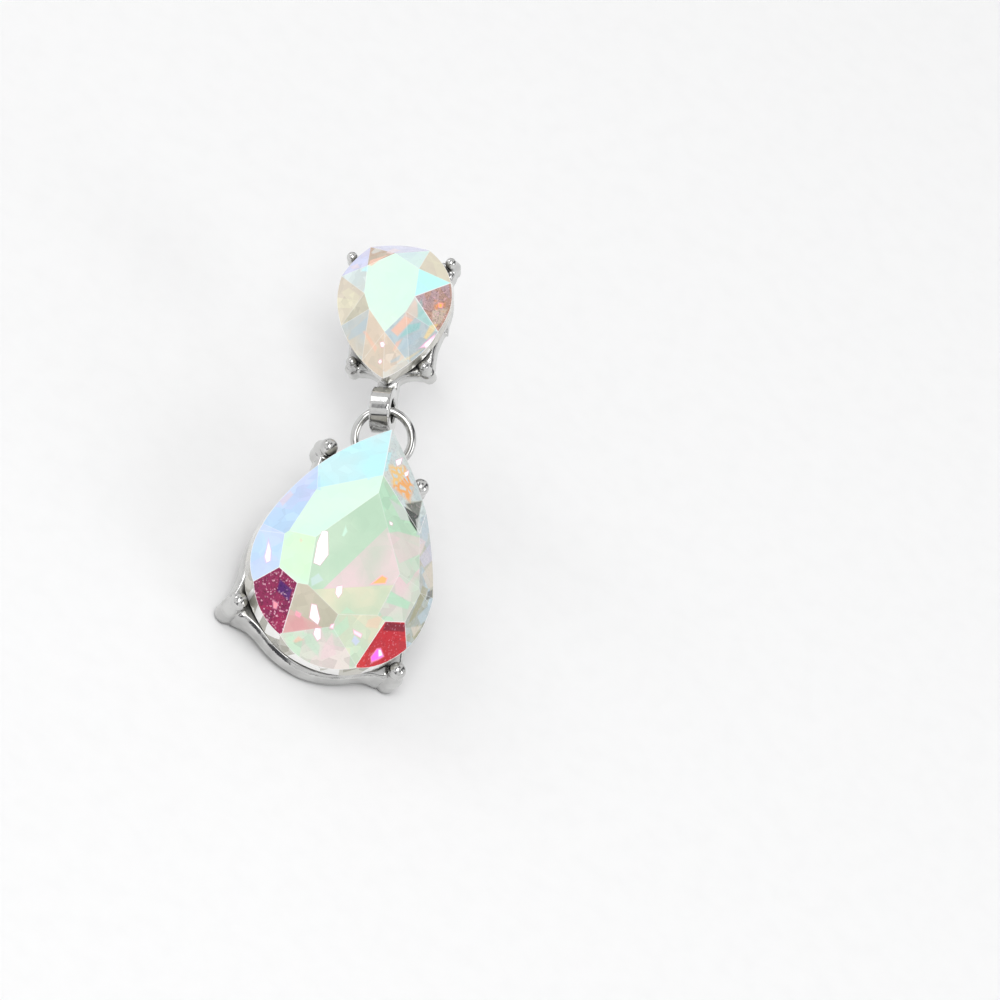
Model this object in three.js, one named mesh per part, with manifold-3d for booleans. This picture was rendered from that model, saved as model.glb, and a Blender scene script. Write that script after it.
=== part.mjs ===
// A drop earring: a small pear crystal on a stud, point down, and a big pear crystal hanging under it,
// point up, joined by one round jump ring. It rests on a surface as it comes to lie: on two feet of the
// big setting and on the tip of the ear post.
import * as THREE from "three";
import { mergeVertices } from "three/addons/utils/BufferGeometryUtils.js";
import { ConvexHull } from "three/addons/math/ConvexHull.js";
import Module from "manifold-3d";

const wasm = await Module();
wasm.setup();

const { degToRad } = THREE.MathUtils;

// Driving dimensions in millimetres, angles in degrees. Each setting is drawn with its stone's point to
// +Y, its face to +Z, the middle of the stone's round end at the origin and the crown's edge at Z = 0.

// Big stone
const DROP_WIDTH = 13;
const DROP_LENGTH = 18;
const DROP_SHOULDER = 14.3;
const DROP_CROWN = 2.25;
const DROP_FLANK = 1.7;
const DROP_PAVILION = 1.15;
const DROP_CULET_Y = 1.6;

// Big stone's setting
const DROP_FRAME_END_OUT = 0.25;
const DROP_FRAME_SIDE_OUT = -0.2;
const DROP_FRAME_TIP_OUT = -0.3;
const DROP_LEDGE = 1;
const DROP_FRAME_HEIGHT = 1.3;
const DROP_FRAME_CHAMFER = 0.3;
const DROP_LOW_FOOT_REACH = 1.6;
const DROP_HIGH_FOOT_REACH = 1.5;
const DROP_LOW_FOOT_DROP = 0.8;
const DROP_HIGH_FOOT_DROP = 0.15;
const DROP_FOOT_WIDTH = 1.5;
const DROP_LOW_FOOT_FILLET = 2.3;
const DROP_HIGH_FOOT_FILLET = 1.2;
const DROP_BALL_DIAMETER = 1.26;
const DROP_PRONG_DIAMETER = 1.05;
const DROP_BALL_DEPTH = 1.45;
const DROP_PRONG_LEAN = 0.2;
const DROP_LUG_OUTER = 1.35;
const DROP_LUG_HOLE = 0.78;
const DROP_LUG_WIDTH = 1.1;
const DROP_LUG_SINK = 0.45;
const DROP_LUG_SETBACK = 1;

// Small stone
const STUD_WIDTH = 8;
const STUD_LENGTH = 10;
const STUD_SHOULDER = 13.2;
const STUD_CROWN = 1.45;
const STUD_FLANK = 1.15;
const STUD_PAVILION = 0.85;
const STUD_CULET_Y = 0.6;

// Small stone's setting
const STUD_FRAME_END_OUT = -0.25;
const STUD_FRAME_SIDE_OUT = -0.25;
const STUD_FRAME_TIP_OUT = 0.05;
const STUD_LEDGE = 0.8;
const STUD_FRAME_CHAMFER = 0.2;
const STUD_LOW_FOOT_REACH = 0.95;
const STUD_HIGH_FOOT_REACH = 1.2;
const STUD_LOW_FOOT_DROP = 0.1;
const STUD_HIGH_FOOT_DROP = 0.2;
const STUD_FOOT_WIDTH = 1;
const STUD_LOW_FOOT_FILLET = 1.2;
const STUD_HIGH_FOOT_FILLET = 2;
const STUD_BALL_DIAMETER = 0.8;
const STUD_PRONG_DIAMETER = 0.7;
const STUD_BALL_DEPTH = 0.9;
const STUD_PRONG_LEAN = 0.12;
const EYE_OUTER = 1.6;
const EYE_HOLE = 0.85;
const EYE_WIDTH = 1.4;
const EYE_REACH = 1.8;
const EYE_DEPTH = 1.4;
const NECK_HEIGHT = 1;
const BAR_WIDTH = 2.4;
const BAR_THICKNESS = 0.55;
const BOSS_DIAMETER = 2.4;
const BOSS_HEIGHT = 0.7;

// Ear post
const POST_DIAMETER = 0.8;
const POST_LENGTH = 11;
const POST_SOCKET = 0.9;
const POST_GROOVE_DEPTH = 0.1;
const POST_GROOVE_LENGTH = 0.5;
const POST_GROOVE_FROM_TIP = 1.8;

// Jump ring
const RING_DIAMETER = 4.5;
const RING_WIRE = 0.6;

// Clearances
const STONE_CLEARANCE = 0.12;
const POST_CLEARANCE = 0.1;

// How the ring and the stud lie against the big setting, about its X, Y and Z axes
const RING_TURN = new THREE.Euler(degToRad(25.6), degToRad(-12.2), 0);
const RING_TO_LUG = -101;
const RING_TO_EYE = 114;
const STUD_TURN = new THREE.Euler(degToRad(10.9), degToRad(-27.6), degToRad(-166.7));
const REST_DOWN = new THREE.Vector3(0, -0.34, -0.94);

// Where the claws stand, as shares of half the outline from the middle of the round end to the point,
// how far the foot of each reaches out and drops behind, and how far its fillet runs along the frame
const DROP_CLAWS = [
  { share: 0.262, reach: DROP_LOW_FOOT_REACH, drop: DROP_LOW_FOOT_DROP, fillet: DROP_LOW_FOOT_FILLET },
  { share: 0.812, reach: DROP_HIGH_FOOT_REACH, drop: DROP_HIGH_FOOT_DROP, fillet: DROP_HIGH_FOOT_FILLET },
];
const STUD_CLAWS = [
  { share: 0.252, reach: STUD_LOW_FOOT_REACH, drop: STUD_LOW_FOOT_DROP, fillet: STUD_LOW_FOOT_FILLET },
  { share: 0.79, reach: STUD_HIGH_FOOT_REACH, drop: STUD_HIGH_FOOT_DROP, fillet: STUD_HIGH_FOOT_FILLET },
];

// Corners of the big stone's table, as shares of the half width and of the reach to the point (or, below
// the origin, of the round end's radius), each with the slope of the facet that starts towards the next
const DROP_TABLE = [
  { x: 0, y: 0.495, slope: 24 },
  { x: 0.483, y: 0.07, slope: 20 },
  { x: 0.4, y: -0.408, slope: 36 },
  { x: 0, y: -0.58, slope: 0 },
];

// Corners of the big stone's girdle, as shares of half the outline, each with the slope of the facet
// that ends there, counted from the round end
const DROP_GIRDLE = [
  { share: 0.124, slope: 53 },
  { share: 0.297, slope: 46 },
  { share: 0.477, slope: 52 },
  { share: 0.738, slope: 46 },
  { share: 1, slope: 33.7 },
];

// Corners of the small stone's table and girdle, from the point to the round end
const STUD_TABLE = [
  { x: 0, y: 0.52 },
  { x: 0.32, y: 0.258 },
  { x: 0.44, y: 0.072 },
  { x: 0.45, y: -0.395 },
  { x: 0, y: -0.645 },
];
const STUD_GIRDLE = [0.85, 0.636, 0.368, 0.158];

// Slope of the outer row of facets under each stone
const PAVILION_SLOPE = 38;

// Mesh fineness
const OUTLINE_STEPS = 96;
const BALL_SEGMENTS = 14;
const BALL_RINGS = 10;
const ROUND_SEGMENTS = 24;
const WIRE_SIDES = 8;
const RING_SIDES = 30;

const METAL = { color: 0xc9c9c7, metalness: 1, roughness: 0.16, flatShading: true };
const STEEL = { color: 0xbfc0c2, metalness: 1, roughness: 0.22, flatShading: true };
const BIG_CRYSTAL = { color: 0xd2efdc, metalness: 0.1, roughness: 0.04, flatShading: true };
const SMALL_CRYSTAL = { color: 0xdcf5e6, metalness: 0.1, roughness: 0.04, flatShading: true };

// Turns a closed geometry into a solid that can be joined and cut.
function solidOf(geometry) {
  const bare = geometry.clone();
  bare.deleteAttribute("normal");
  bare.deleteAttribute("uv");
  const merged = mergeVertices(bare, 1e-4);
  return new wasm.Manifold(
    new wasm.Mesh({
      numProp: 3,
      vertProperties: new Float32Array(merged.attributes.position.array),
      triVerts: new Uint32Array(merged.index.array),
    }),
  );
}

// Turns a solid back into a geometry.
function geometryOf(solid) {
  const { vertProperties, triVerts } = solid.getMesh();
  const geometry = new THREE.BufferGeometry();
  geometry.setAttribute("position", new THREE.BufferAttribute(vertProperties, 3));
  geometry.setIndex(new THREE.BufferAttribute(triVerts, 1));
  geometry.computeVertexNormals();
  return geometry;
}

function meshOf(name, geometry, look) {
  const mesh = new THREE.Mesh(geometry, new THREE.MeshStandardMaterial(look));
  mesh.name = name;
  return mesh;
}

// A pear outline: a round end about the origin and two side arcs that meet in the point on +Y.
// shoulder is the angle above X where the round end passes into the side arc.
function makePear(width, length, shoulderDegrees) {
  const radius = width / 2;
  const tip = length - radius;
  const shoulder = degToRad(shoulderDegrees);
  const shift = (tip ** 2 - radius ** 2) / (2 * (radius - tip * Math.sin(shoulder)));
  const sideRadius = radius + shift;
  const sideX = -shift * Math.cos(shoulder);
  const sideY = -shift * Math.sin(shoulder);
  const roundLength = radius * (Math.PI / 2 + shoulder);
  const sideLength = sideRadius * (Math.acos(-sideX / sideRadius) - shoulder);
  const halfLength = roundLength + sideLength;
  const roundShare = roundLength / halfLength;
  return { radius, tip, shoulder, sideRadius, sideX, sideY, halfLength, roundShare };
}

// A point of the outline moved out by offset. share runs from 0 at the middle of the round end to 1 at
// the point, and is negative on the left.
function pearPoint(pear, share, offset = 0) {
  const way = Math.abs(share);
  const side = share < 0 ? -1 : 1;
  if (way <= pear.roundShare) {
    const turn = -Math.PI / 2 + (way / pear.roundShare) * (Math.PI / 2 + pear.shoulder);
    const reach = pear.radius + offset;
    return new THREE.Vector3(side * reach * Math.cos(turn), reach * Math.sin(turn), 0);
  }
  const reach = pear.sideRadius + offset;
  const tipTurn = Math.acos(-pear.sideX / reach);
  const onSide = (way - pear.roundShare) / (1 - pear.roundShare);
  const turn = THREE.MathUtils.lerp(pear.shoulder, tipTurn, onSide);
  const x = pear.sideX + reach * Math.cos(turn);
  return new THREE.Vector3(side * x, pear.sideY + reach * Math.sin(turn), 0);
}

function outlineShares() {
  return Array.from({ length: OUTLINE_STEPS }, (_, i) => -1 + (2 * i) / OUTLINE_STEPS);
}

// A big block whose lower face lies on a plane, so that taking it away cuts along the plane.
function blockAbove(point, normal, size) {
  const block = new THREE.BoxGeometry(size, size, size);
  block.translate(0, 0, size / 2);
  block.applyQuaternion(new THREE.Quaternion().setFromUnitVectors(new THREE.Vector3(0, 0, 1), normal));
  block.translate(point.x, point.y, point.z);
  return solidOf(block);
}

// The plane through three points, facing away from the stone's middle.
function planeThrough(a, b, c, middle) {
  const toB = new THREE.Vector3().subVectors(b, a);
  const toC = new THREE.Vector3().subVectors(c, a);
  const normal = toB.cross(toC).normalize();
  if (normal.dot(new THREE.Vector3().subVectors(a, middle)) < 0) normal.negate();
  return { point: a, normal };
}

// The plane that rises inwards from the line a to b at a slope, or sinks inwards with a negative slope.
function planeFrom(a, b, slope) {
  const along = new THREE.Vector3().subVectors(b, a).normalize();
  const inwards = new THREE.Vector3(along.y, -along.x, 0);
  if (inwards.dot(a) > 0) inwards.negate();
  const rise = degToRad(slope);
  const third = a.clone().addScaledVector(inwards, Math.cos(rise));
  third.z += Math.sin(rise);
  return { a, b, third };
}

// A pear crystal, cut from its outline by the planes of its facets.
function makeStone(pear, crown, flank, pavilion, facets) {
  const outline = outlineShares().map((share) => pearPoint(pear, share));
  const shape = new THREE.Shape(outline.map((p) => new THREE.Vector2(p.x, p.y)));
  const depth = crown + flank + pavilion;
  const block = new THREE.ExtrudeGeometry(shape, { depth, bevelEnabled: false });
  block.translate(0, 0, -flank - pavilion);
  const middle = new THREE.Vector3(0, 0, -flank / 2);
  const reach = 4 * (pear.tip + pear.radius);
  let stone = solidOf(block);
  for (const { a, b, third } of facets) {
    const { point, normal } = planeThrough(a, b, third, middle);
    stone = stone.subtract(blockAbove(point, normal, reach));
  }
  return geometryOf(stone);
}

// The same facets on the left.
function mirrored({ a, b, third }) {
  const flip = (p) => new THREE.Vector3(-p.x, p.y, p.z);
  return { a: flip(a), b: flip(b), third: flip(third) };
}

function bothSides(facets) {
  return facets.flatMap((facet) => [facet, mirrored(facet)]);
}

function tableCorner(pear, corner, crown) {
  const y = corner.y * (corner.y < 0 ? pear.radius : pear.tip);
  return new THREE.Vector3(corner.x * pear.radius, y, crown);
}

// Two rows of facets under the stone: a steep one from its lower edge and a flat one to the culet.
function pavilionFacets(pear, shares, flank, pavilion, culetY) {
  const corners = shares.map((share) => pearPoint(pear, share).setZ(-flank));
  const culet = new THREE.Vector3(0, culetY, -flank - pavilion);
  const facets = [];
  corners.slice(1).forEach((corner, i) => {
    facets.push(planeFrom(corners[i], corner, -PAVILION_SLOPE));
    facets.push({ a: corners[i], b: corner, third: culet });
  });
  const [first] = corners;
  const across = { a: first, b: new THREE.Vector3(-first.x, first.y, first.z), third: culet };
  return [across, ...bothSides(facets)];
}

function makeDropStone(pear) {
  const table = DROP_TABLE.map((corner) => tableCorner(pear, corner, DROP_CROWN));
  const girdle = DROP_GIRDLE.map(({ share }) => pearPoint(pear, share));
  const inner = table.slice(1).map((corner, i) => planeFrom(table[i], corner, DROP_TABLE[i].slope));
  const outer = girdle.slice(1).map((corner, i) => planeFrom(girdle[i], corner, DROP_GIRDLE[i + 1].slope));
  const roundEnd = planeFrom(girdle[0], pearPoint(pear, -DROP_GIRDLE[0].share), DROP_GIRDLE[0].slope);
  const shares = DROP_GIRDLE.map(({ share }) => share);
  const under = pavilionFacets(pear, shares, DROP_FLANK, DROP_PAVILION, DROP_CULET_Y);
  const facets = [...bothSides([...inner, ...outer]), roundEnd, ...under];
  return makeStone(pear, DROP_CROWN, DROP_FLANK, DROP_PAVILION, facets);
}

// The small stone's crown alternates: one facet from each side of the table to a corner of the girdle,
// and one from each side of the girdle to a corner of the table.
function makeStudStone(pear) {
  const table = STUD_TABLE.map((corner) => tableCorner(pear, corner, STUD_CROWN));
  const girdle = STUD_GIRDLE.map((share) => pearPoint(pear, share));
  const point = pearPoint(pear, 1);
  const fromTable = girdle.map((corner, i) => ({ a: table[i], b: table[i + 1], third: corner }));
  const starts = [point, ...girdle];
  const fromGirdle = girdle.map((corner, i) => ({ a: starts[i], b: corner, third: table[i] }));
  const last = girdle[girdle.length - 1];
  const roundEnd = { a: last, b: new THREE.Vector3(-last.x, last.y, 0), third: table[table.length - 1] };
  const shares = [...STUD_GIRDLE].reverse().concat(1);
  const under = pavilionFacets(pear, shares, STUD_FLANK, STUD_PAVILION, STUD_CULET_Y);
  const facets = [...bothSides([...fromTable, ...fromGirdle]), roundEnd, ...under];
  return makeStone(pear, STUD_CROWN, STUD_FLANK, STUD_PAVILION, facets);
}

// How far a foot pushes the frame out at a way from its middle, from 1 on the foot to 0 past its fillet.
function footShape(way, footWidth, fillet) {
  const past = Math.max(0, way - footWidth / 2) / fillet;
  return Math.max(0, 1 - past) ** 3;
}

// The frame's outer offset between its feet.
function plainOffset(pear, share, setting) {
  const way = Math.abs(share);
  if (way < pear.roundShare) {
    return THREE.MathUtils.lerp(setting.endOut, setting.sideOut, way / pear.roundShare);
  }
  const onSide = (way - pear.roundShare) / (1 - pear.roundShare);
  return THREE.MathUtils.lerp(setting.sideOut, setting.tipOut, onSide);
}

// The frame's outer offset and its back, both running out to each foot.
function frameAt(pear, share, setting) {
  const plain = plainOffset(pear, share, setting);
  const feet = setting.claws.map((claw) => {
    const way = Math.abs(Math.abs(share) - claw.share) * pear.halfLength;
    const foot = footShape(way, setting.footWidth, claw.fillet);
    return { out: THREE.MathUtils.lerp(plain, footMiddle(claw, setting), foot), drop: claw.drop * foot };
  });
  const out = Math.max(plain, ...feet.map((foot) => foot.out));
  const back = setting.back - Math.max(...feet.map((foot) => foot.drop));
  return { out, back };
}

// The offset of the middle of a foot's round end.
function footMiddle(claw, setting) {
  return claw.reach - setting.footWidth / 2;
}

// A closed band around the outline, with a chamfered outer edge in front.
function makeFrame(pear, setting) {
  const shares = outlineShares();
  const positions = [];
  for (const share of shares) {
    const { out, back } = frameAt(pear, share, setting);
    const section = [
      { offset: out, z: back },
      { offset: out, z: setting.front - setting.chamfer },
      { offset: out - setting.chamfer, z: setting.front },
      { offset: -setting.ledge, z: setting.front },
      { offset: -setting.ledge, z: back },
    ];
    for (const { offset, z } of section) {
      const p = pearPoint(pear, share, offset);
      positions.push(p.x, p.y, z);
    }
  }
  const sides = positions.length / 3 / shares.length;
  const index = [];
  for (let i = 0; i < shares.length; i += 1) {
    const next = (i + 1) % shares.length;
    for (let j = 0; j < sides; j += 1) {
      const up = (j + 1) % sides;
      const [a, b] = [i * sides + j, next * sides + j];
      const [c, d] = [next * sides + up, i * sides + up];
      index.push(a, b, c, a, c, d);
    }
  }
  const geometry = new THREE.BufferGeometry();
  geometry.setAttribute("position", new THREE.BufferAttribute(new Float32Array(positions), 3));
  geometry.setIndex(index);
  return solidOf(geometry);
}

// A round bar between two points.
function makeBar(from, to, fromRadius, toRadius) {
  const way = new THREE.Vector3().subVectors(to, from);
  const bar = new THREE.CylinderGeometry(toRadius, fromRadius, way.length(), BALL_SEGMENTS);
  bar.translate(0, way.length() / 2, 0);
  bar.applyQuaternion(
    new THREE.Quaternion().setFromUnitVectors(new THREE.Vector3(0, 1, 0), way.clone().normalize()),
  );
  bar.translate(from.x, from.y, from.z);
  return solidOf(bar);
}

// A claw: a short prong on a round foot, with a ball that stands against the stone's flank.
function makeClaw(pear, claw, side, setting) {
  const share = side * claw.share;
  const footBack = pearPoint(pear, share, footMiddle(claw, setting)).setZ(setting.back - claw.drop);
  const footFront = footBack.clone().setZ(setting.front - setting.chamfer);
  const round = makeBar(footBack, footFront, setting.footWidth / 2, setting.footWidth / 2);
  const out = setting.ballDiameter / 2 + STONE_CLEARANCE;
  const ball = pearPoint(pear, share, out).setZ(-setting.ballDepth);
  const foot = pearPoint(pear, share, out + setting.prongLean).setZ((setting.back + setting.front) / 2);
  const head = new THREE.SphereGeometry(setting.ballDiameter / 2, BALL_SEGMENTS, BALL_RINGS);
  head.translate(ball.x, ball.y, ball.z);
  const prongRadius = setting.prongDiameter / 2;
  const prong = makeBar(foot, ball, prongRadius + setting.prongLean, prongRadius);
  return solidOf(head).add(prong).add(round);
}

function makeClaws(pear, setting) {
  return setting.claws.flatMap((claw) => [1, -1].map((side) => makeClaw(pear, claw, side, setting)));
}

// A round disc whose axis is X, about a centre.
function discAcross(radius, width, centre) {
  const disc = new THREE.CylinderGeometry(radius, radius, width, ROUND_SEGMENTS);
  disc.rotateZ(Math.PI / 2);
  disc.translate(centre.x, centre.y, centre.z);
  return solidOf(disc);
}

// Where the frame's front lies: just under the stone at the inner side of the ledge.
function frameFront(pear, flank, pavilion, ledge, culetY) {
  const steep = ledge * Math.tan(degToRad(PAVILION_SLOPE));
  const flat = (pavilion * ledge) / (pear.radius - Math.abs(culetY));
  return -(flank + Math.min(steep, flat, pavilion) + STONE_CLEARANCE);
}

const dropPear = makePear(DROP_WIDTH, DROP_LENGTH, DROP_SHOULDER);
const dropFront = frameFront(dropPear, DROP_FLANK, DROP_PAVILION, DROP_LEDGE, DROP_CULET_Y);
const dropSetting = {
  front: dropFront,
  back: dropFront - DROP_FRAME_HEIGHT,
  endOut: DROP_FRAME_END_OUT,
  sideOut: DROP_FRAME_SIDE_OUT,
  tipOut: DROP_FRAME_TIP_OUT,
  ledge: DROP_LEDGE,
  chamfer: DROP_FRAME_CHAMFER,
  footWidth: DROP_FOOT_WIDTH,
  ballDiameter: DROP_BALL_DIAMETER,
  prongDiameter: DROP_PRONG_DIAMETER,
  ballDepth: DROP_BALL_DEPTH,
  prongLean: DROP_PRONG_LEAN,
  claws: DROP_CLAWS,
};
const lugCentre = new THREE.Vector3(
  0,
  dropPear.tip - DROP_LUG_SETBACK,
  dropSetting.back - DROP_LUG_OUTER + DROP_LUG_SINK,
);

const studPear = makePear(STUD_WIDTH, STUD_LENGTH, STUD_SHOULDER);
const studSetting = {
  front: frameFront(studPear, STUD_FLANK, STUD_PAVILION, STUD_LEDGE, STUD_CULET_Y),
  back: -(STUD_FLANK + STUD_PAVILION + STONE_CLEARANCE + BAR_THICKNESS),
  endOut: STUD_FRAME_END_OUT,
  sideOut: STUD_FRAME_SIDE_OUT,
  tipOut: STUD_FRAME_TIP_OUT,
  ledge: STUD_LEDGE,
  chamfer: STUD_FRAME_CHAMFER,
  footWidth: STUD_FOOT_WIDTH,
  ballDiameter: STUD_BALL_DIAMETER,
  prongDiameter: STUD_PRONG_DIAMETER,
  ballDepth: STUD_BALL_DEPTH,
  prongLean: STUD_PRONG_LEAN,
  claws: STUD_CLAWS,
};
const eyeCentre = new THREE.Vector3(0, studPear.tip + EYE_REACH, -EYE_DEPTH);

function makeDropSetting() {
  const lug = discAcross(DROP_LUG_OUTER, DROP_LUG_WIDTH, lugCentre);
  const hole = discAcross(DROP_LUG_HOLE, DROP_LUG_WIDTH * 2, lugCentre);
  const claws = makeClaws(dropPear, dropSetting);
  const whole = claws.reduce((sum, claw) => sum.add(claw), makeFrame(dropPear, dropSetting));
  return geometryOf(whole.add(lug).subtract(hole));
}

// The bar lies across the open frame and carries the boss with the post's socket.
function makeStudBack() {
  const span = 2 * (studPear.radius - STUD_LEDGE / 2);
  const bar = new THREE.BoxGeometry(span, BAR_WIDTH, BAR_THICKNESS);
  bar.translate(0, STUD_CULET_Y, studSetting.back + BAR_THICKNESS / 2);
  const bossBack = new THREE.Vector3(0, STUD_CULET_Y, studSetting.back - BOSS_HEIGHT);
  const bossFront = bossBack.clone().setZ(studSetting.back + BAR_THICKNESS / 2);
  const boss = makeBar(bossBack, bossFront, BOSS_DIAMETER / 2, BOSS_DIAMETER / 2);
  return solidOf(bar).add(boss);
}

function makeStudSetting() {
  const eye = discAcross(EYE_OUTER, EYE_WIDTH, eyeCentre);
  const hole = discAcross(EYE_HOLE, EYE_WIDTH * 2, eyeCentre);
  const neckLength = EYE_REACH + STUD_LEDGE;
  const neck = new THREE.BoxGeometry(EYE_WIDTH, neckLength, NECK_HEIGHT);
  neck.translate(0, studPear.tip + EYE_REACH - neckLength / 2, studSetting.back + NECK_HEIGHT / 2);
  const socketEnd = new THREE.Vector3(0, STUD_CULET_Y, studSetting.back - BOSS_HEIGHT + POST_SOCKET);
  const socketMouth = socketEnd.clone().setZ(studSetting.back - 2 * BOSS_HEIGHT);
  const socketRadius = POST_DIAMETER / 2 + POST_CLEARANCE;
  const socket = makeBar(socketMouth, socketEnd, socketRadius, socketRadius);
  const claws = makeClaws(studPear, studSetting);
  const whole = claws.reduce((sum, claw) => sum.add(claw), makeFrame(studPear, studSetting));
  return geometryOf(whole.add(eye).add(solidOf(neck)).add(makeStudBack()).subtract(hole).subtract(socket));
}

// A straight pin with a round end and a shallow groove near it, drawn along +Y and turned to -Z.
function makePost() {
  const radius = POST_DIAMETER / 2;
  const length = POST_LENGTH + POST_SOCKET - POST_CLEARANCE;
  const groove = length - POST_GROOVE_FROM_TIP;
  const profile = new THREE.Path();
  profile.moveTo(0, 0);
  profile.lineTo(radius, 0);
  profile.lineTo(radius, groove - POST_GROOVE_LENGTH / 2);
  profile.lineTo(radius - POST_GROOVE_DEPTH, groove);
  profile.lineTo(radius, groove + POST_GROOVE_LENGTH / 2);
  profile.lineTo(radius, length - radius);
  profile.absarc(0, length - radius, radius, 0, Math.PI / 2, false);
  const points = profile.getPoints(BALL_RINGS / 2);
  points[points.length - 1].x = 0;
  const post = new THREE.LatheGeometry(points, ROUND_SEGMENTS / 2);
  post.rotateX(-Math.PI / 2);
  return post;
}

const ringRadius = (RING_DIAMETER - RING_WIRE) / 2;

// The middle of the wire at an angle around the ring, from the ring's centre.
function onRing(degrees) {
  const turn = degToRad(degrees);
  const flat = new THREE.Vector3(Math.cos(turn), Math.sin(turn), 0);
  return flat.multiplyScalar(ringRadius).applyEuler(RING_TURN);
}

function makeDrop() {
  const drop = new THREE.Group();
  drop.add(meshOf("drop_stone", makeDropStone(dropPear), BIG_CRYSTAL));
  drop.add(meshOf("drop_setting", makeDropSetting(), METAL));
  return drop;
}

// The ring passes through the middle of the lug behind the big stone's point.
function makeRing() {
  const torus = new THREE.TorusGeometry(ringRadius, RING_WIRE / 2, WIRE_SIDES, RING_SIDES);
  const ring = meshOf("jump_ring", torus, METAL);
  ring.setRotationFromEuler(RING_TURN);
  ring.position.subVectors(lugCentre, onRing(RING_TO_LUG));
  return ring;
}

// The stud hangs on the ring by its eye.
function makeStud(ringCentre) {
  const stud = new THREE.Group();
  stud.add(meshOf("stud_stone", makeStudStone(studPear), SMALL_CRYSTAL));
  stud.add(meshOf("stud_setting", makeStudSetting(), METAL));
  const post = meshOf("ear_post", makePost(), STEEL);
  post.position.set(0, STUD_CULET_Y, studSetting.back - BOSS_HEIGHT + POST_SOCKET - POST_CLEARANCE);
  stud.add(post);
  stud.setRotationFromEuler(STUD_TURN);
  stud.position.copy(ringCentre).add(onRing(RING_TO_EYE));
  stud.position.sub(eyeCentre.clone().applyEuler(STUD_TURN));
  return stud;
}

// Every corner of every mesh under an object, in the object's parent's frame.
function cornersOf(object) {
  object.updateMatrixWorld(true);
  const corners = [];
  object.traverse((mesh) => {
    if (!mesh.isMesh) return;
    const places = mesh.geometry.getAttribute("position");
    for (let i = 0; i < places.count; i += 1) {
      corners.push(new THREE.Vector3().fromBufferAttribute(places, i).applyMatrix4(mesh.matrixWorld));
    }
  });
  return corners;
}

// The way down from an object that stands on its three outermost points: the normal of the widest face
// of its hull on the side of a first guess.
function restingNormal(corners, guess) {
  const faces = new ConvexHull().setFromPoints(corners).faces;
  const weight = (face) => face.area * Math.max(0, face.normal.dot(guess)) ** 4;
  return faces.reduce((best, face) => (weight(face) > weight(best) ? face : best)).normal;
}

// Lays a group on Z = 0 with the big stone's axis along +Y and the middle of its box over the origin.
function layDown(group) {
  const down = restingNormal(cornersOf(group), REST_DOWN.clone().normalize());
  const up = down.clone().negate();
  const right = new THREE.Vector3(0, 1, 0).cross(up).normalize();
  const ahead = new THREE.Vector3().crossVectors(up, right);
  const turn = new THREE.Matrix4().makeBasis(right, ahead, up).transpose();
  group.setRotationFromMatrix(turn);
  const box = new THREE.Box3().setFromPoints(cornersOf(group));
  const middle = box.getCenter(new THREE.Vector3());
  group.position.set(-middle.x, -middle.y, -box.min.z);
}

const ring = makeRing();
const earring = new THREE.Group();
earring.add(makeDrop(), ring, makeStud(ring.position));
layDown(earring);

const model = new THREE.Group();
model.add(earring);

export default model;
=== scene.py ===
"""The looks of a teardrop earring: two coated pear crystals in plated claw settings, on a pale floor."""

from math import cos, pi, radians, sin

import bmesh
import bpy
from mathutils import Matrix, Vector


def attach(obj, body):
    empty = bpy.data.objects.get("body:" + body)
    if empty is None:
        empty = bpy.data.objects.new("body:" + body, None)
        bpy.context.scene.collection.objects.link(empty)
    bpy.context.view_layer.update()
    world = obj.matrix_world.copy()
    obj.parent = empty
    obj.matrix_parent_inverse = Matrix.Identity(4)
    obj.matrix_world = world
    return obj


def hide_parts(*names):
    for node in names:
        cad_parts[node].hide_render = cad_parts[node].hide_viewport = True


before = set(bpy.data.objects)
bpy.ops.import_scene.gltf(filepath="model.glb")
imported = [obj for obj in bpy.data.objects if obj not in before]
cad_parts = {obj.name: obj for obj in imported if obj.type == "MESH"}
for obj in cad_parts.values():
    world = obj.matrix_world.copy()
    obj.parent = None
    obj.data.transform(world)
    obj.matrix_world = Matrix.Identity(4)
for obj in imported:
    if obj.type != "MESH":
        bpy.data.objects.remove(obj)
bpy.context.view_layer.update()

MM = 0.001

# Where the own frames of the stones and the ring lie: origin in millimetres, then the X, Y and Z axes
BIG_PLACE = ((0, -10.2435, 5.5207), (1, 0, 0), (0, 0.94825, 0.31754), (0, -0.31754, 0.94825))
SMALL_PLACE = ((-2.6504, 10.1905, 11.4135), (-0.86243, 0.02104, -0.50573), (0.20387, -0.90007, -0.38510),
               (-0.46330, -0.43523, 0.77197))
RING_PLACE = ((0.3637, 2.3837, 6.2092), (0.97742, -0.14710, 0.15172), (0, 0.71795, 0.69609),
              (-0.21132, -0.68037, 0.70174))

# Camera: the direction that it looks from and its up; in millimetres, the width of its view at the
# earring, where it aims from the middle of the big stone's frame, its distance and its sensor; and in
# metres, the nearest that it shows
VIEW_FROM = Vector((-0.2113, -0.6796, 0.7025))
VIEW_UP = Vector((-0.3958, 0.7166, 0.5742))
VIEW_SPAN = 67.34
VIEW_RIGHT_OF_DROP = 10.56
VIEW_ABOVE_DROP = 5.12
VIEW_DISTANCE = 600
SENSOR = 36
CLIP_START = 0.01

# Ring and post, in millimetres. The post's ends start NEAR_AXIS, where their points merge to one
RING_RADIUS = 1.95
WIRE_RADIUS = 0.3
POST_RADIUS = 0.4
POST_FOOT = 2.57
POST_Y = 0.6
POST_LENGTH = 11.8
POST_GROOVE_AT = 10
POST_GROOVE_HALF = 0.25
POST_GROOVE_DEPTH = 0.1
POST_CHAMFER = 0.03
NEAR_AXIS = 0.0005

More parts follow.
